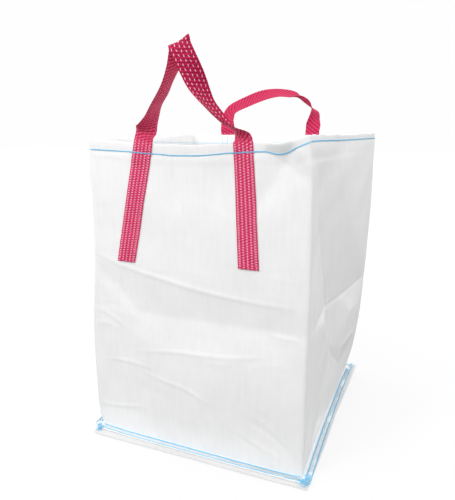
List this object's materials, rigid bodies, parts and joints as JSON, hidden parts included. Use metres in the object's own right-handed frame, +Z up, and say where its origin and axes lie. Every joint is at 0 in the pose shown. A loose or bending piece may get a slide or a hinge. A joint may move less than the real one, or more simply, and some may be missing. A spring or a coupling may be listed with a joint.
{
  "type": "bulk bag",
  "caption": "Open-topped square bulk bag of white woven cloth with a sewn base flange, a stitched hem and webbing carrying handles that swing at the rim.",
  "frame": {"origin": "middle of the base panel's underside, on the floor", "axes": "+Z up, -Y out of the front wall, +X to the right as seen from the front"},
  "size_m": [0.51, 0.5296, 0.768],
  "materials": {
    "woven_cloth": "coated woven polypropylene, satin",
    "webbing": "woven polypropylene webbing, crimson with pale flecks",
    "blue_thread": "twisted polyester sewing thread",
    "pink_thread": "twisted polyester sewing thread"
  },
  "bodies": {
    "bag": {"body_tube": "woven_cloth", "base_panel": "woven_cloth", "hem_chain_thread": "blue_thread", "hem_needle_thread": "blue_thread", "base_seam_thread_front": "blue_thread", "base_seam_thread_right": "blue_thread", "base_seam_thread_back": "blue_thread", "base_seam_thread_left": "blue_thread", "front_handle_left_leg": "webbing", "front_handle_right_leg": "webbing", "back_handle_left_leg": "webbing", "back_handle_right_leg": "webbing", "front_handle_left_needle_thread": "pink_thread", "front_handle_right_needle_thread": "pink_thread", "back_handle_left_needle_thread": "pink_thread", "back_handle_right_needle_thread": "pink_thread", "front_handle_left_bobbin_thread": "blue_thread", "front_handle_right_bobbin_thread": "blue_thread", "back_handle_left_bobbin_thread": "blue_thread", "back_handle_right_bobbin_thread": "blue_thread"},
    "front_handle": {"front_handle_loop": "webbing", "front_handle_left_bend": "webbing", "front_handle_right_bend": "webbing"},
    "back_handle": {"back_handle_loop": "webbing", "back_handle_left_bend": "webbing", "back_handle_right_bend": "webbing"}
  },
  "joints": [
    {"name": "front_handle_swing", "type": "hinge", "parent": "bag", "child": "front_handle", "pos_m": [0, -0.226, 0.603], "axis": [1, 0, 0], "range_deg": [-130, 135], "deforming": ["front_handle_left_bend", "front_handle_right_bend"]},
    {"name": "back_handle_swing", "type": "hinge", "parent": "bag", "child": "back_handle", "pos_m": [0, 0.226, 0.603], "axis": [-1, 0, 0], "range_deg": [-140, 140], "deforming": ["back_handle_left_bend", "back_handle_right_bend"]}
  ]
}
